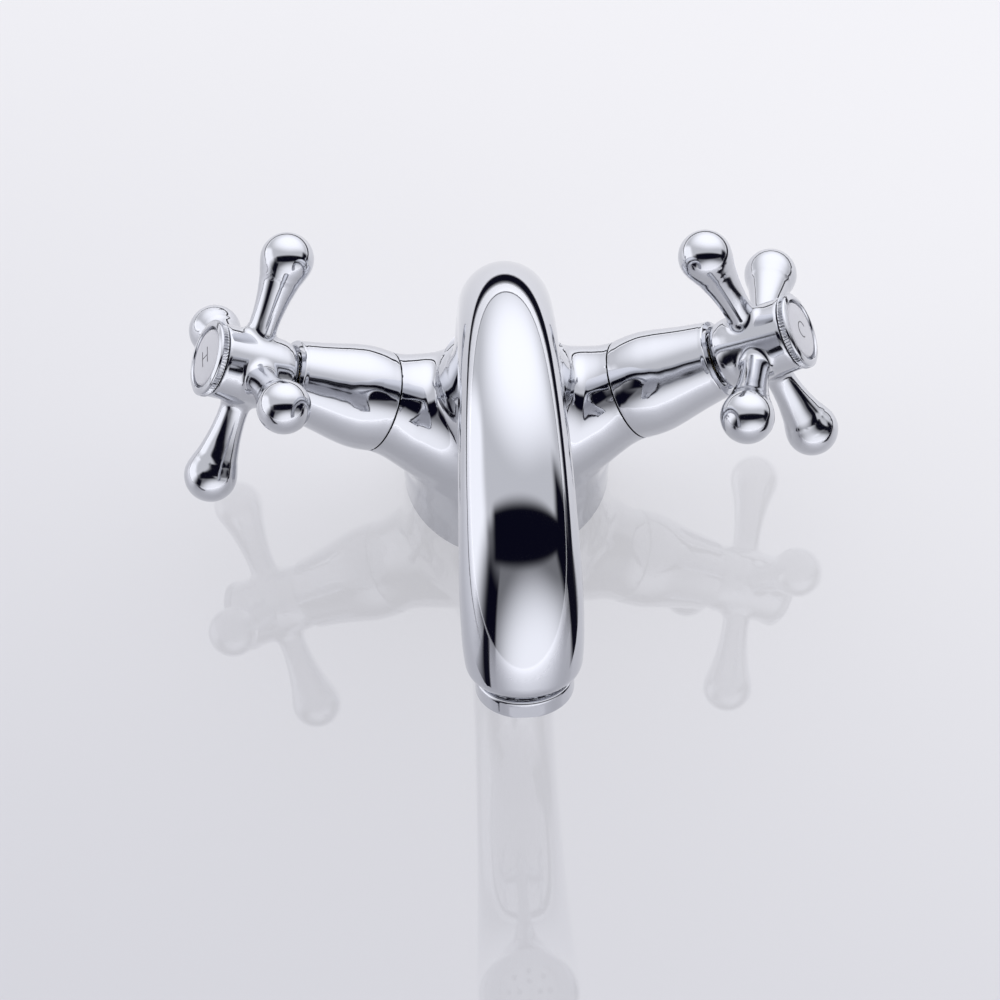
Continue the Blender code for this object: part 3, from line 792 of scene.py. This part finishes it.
def step(tree, source, start, end):
    """Rises smoothly from 0 to 1 while the source goes from start to end, or falls if end is less."""
    node = tree.nodes.new("ShaderNodeMapRange")
    node.interpolation_type = "SMOOTHSTEP"
    low, high = min(start, end), max(start, end)
    node.inputs["From Min"].default_value = low
    node.inputs["From Max"].default_value = high
    node.inputs["To Min"].default_value = 0.0 if start < end else 1.0
    node.inputs["To Max"].default_value = 1.0 if start < end else 0.0
    tree.links.new(source, node.inputs["Value"])
    return node.outputs["Result"]


def patch(tree, first, second, first_range, second_range):
    """A soft patch of the surround, 1 inside. A range is start, full, full, end."""
    shares = []
    for source, (start, full, last, end) in ((first, first_range), (second, second_range)):
        shares.append(formula(tree, "MULTIPLY", step(tree, source, start, full),
                              step(tree, source, end, last)))
    return formula(tree, "MULTIPLY", *shares)


def glow(tree, height, side, light):
    """A light that fades from its middle to its oval edge."""
    terms = []
    for source, (middle, half) in ((height, light["height"]), (side, light["side"])):
        off = formula(tree, "DIVIDE", formula(tree, "SUBTRACT", source, middle), half)
        terms.append(formula(tree, "MULTIPLY", off, off))
    share = step(tree, formula(tree, "ADD", *terms), 1.0, 0.0)
    return formula(tree, "ADD", formula(tree, "MULTIPLY", share, light["gain"]), light["edge"])


def studio_level(tree, height, side, turn, rise):
    """How bright the studio is in each direction."""
    upper, lower = glow(tree, height, side, SOFTBOX), glow(tree, height, side, FRONT_LIGHT)
    over = step(tree, height, *SOFTBOX_FOOT)
    level = formula(tree, "ADD", formula(tree, "MULTIPLY", upper, over),
                    formula(tree, "MULTIPLY", lower, formula(tree, "SUBTRACT", 1.0, over)))
    left = formula(tree, "MULTIPLY", step(tree, side, *LEFT_WALL["side"]),
                   step(tree, rise, *LEFT_WALL["rise"]))
    level = formula(tree, "ADD", formula(tree, "MULTIPLY", level, formula(tree, "SUBTRACT", 1.0, left)),
                    formula(tree, "MULTIPLY", left, LEFT_WALL["gain"]))
    for dark in (patch(tree, height, side, *DARK_BAND), patch(tree, turn, rise, *DARK_POST_LEFT),
                 patch(tree, turn, rise, *DARK_POST_RIGHT)):
        level = formula(tree, "MULTIPLY", level, formula(tree, "SUBTRACT", 1.0, dark))
    return level


def make_world():
    """A studio as the chrome sees it: a big soft light above and behind, a bright wall on the left,
    a smaller light in front, and dark where the camera and two posts stand."""
    world = bpy.data.worlds.new("studio")
    bpy.context.scene.world = world
    world.use_nodes = True
    tree = world.node_tree
    nodes, links = tree.nodes, tree.links
    nodes.clear()
    coords = nodes.new("ShaderNodeTexCoord")
    parts = nodes.new("ShaderNodeSeparateXYZ")
    links.new(coords.outputs["Generated"], parts.inputs["Vector"])
    forward = formula(tree, "MULTIPLY", parts.outputs["Y"], -1)
    angles = (("ARCTAN2", parts.outputs["Z"], forward), ("ARCSINE", parts.outputs["X"]),
              ("ARCTAN2", parts.outputs["X"], forward), ("ARCSINE", parts.outputs["Z"]))
    height, side, turn, rise = (formula(tree, "MULTIPLY", formula(tree, *angle), 180 / math.pi)
                                for angle in angles)
    lit = nodes.new("ShaderNodeBackground")
    lit.inputs["Color"].default_value = (*LIGHT_COLOUR, 1)
    links.new(studio_level(tree, height, side, turn, rise), lit.inputs["Strength"])
    shade = nodes.new("ShaderNodeBackground")
    shade.inputs["Color"].default_value = (*SHADE_COLOUR, 1)
    both = nodes.new("ShaderNodeAddShader")
    out = nodes.new("ShaderNodeOutputWorld")
    links.new(lit.outputs["Background"], both.inputs[0])
    links.new(shade.outputs["Background"], both.inputs[1])
    links.new(both.outputs["Shader"], out.inputs["Surface"])
    bpy.context.scene.view_settings.view_transform = "Standard"


def make_camera():
    """A long lens that looks down on the spout from almost straight in front."""
    backward = Vector((math.sin(CAMERA_AZIMUTH) * math.cos(CAMERA_ELEVATION),
                       -math.cos(CAMERA_AZIMUTH) * math.cos(CAMERA_ELEVATION),
                       math.sin(CAMERA_ELEVATION)))
    level = Vector((math.cos(CAMERA_AZIMUTH), math.sin(CAMERA_AZIMUTH), 0))
    upward = backward.cross(level)
    right = level * math.cos(CAMERA_ROLL) + upward * math.sin(CAMERA_ROLL)
    up = upward * math.cos(CAMERA_ROLL) - level * math.sin(CAMERA_ROLL)
    data = bpy.data.cameras.new("camera")
    data.lens = CAMERA_LENS
    data.sensor_width = 36
    data.clip_start = 0.01
    camera = linked("camera", data)
    camera.matrix_world = Matrix.Translation(CAMERA_PLACE) @ Matrix(
        (right, up, backward)).transposed().to_4x4()
    bpy.context.scene.camera = camera


make_camera()
make_world()
make_floor()
make_painted_gap_reflection()
make_painted_post_reflections()
finishes = make_materials()
dress_frame(finishes)
make_body(finishes)
make_aerator(finishes)
for side in SIDES:
    make_bonnet_cover(side, finishes)
    make_handle(side, finishes)
    make_cap(side, finishes)

bpy.context.view_layer.update()
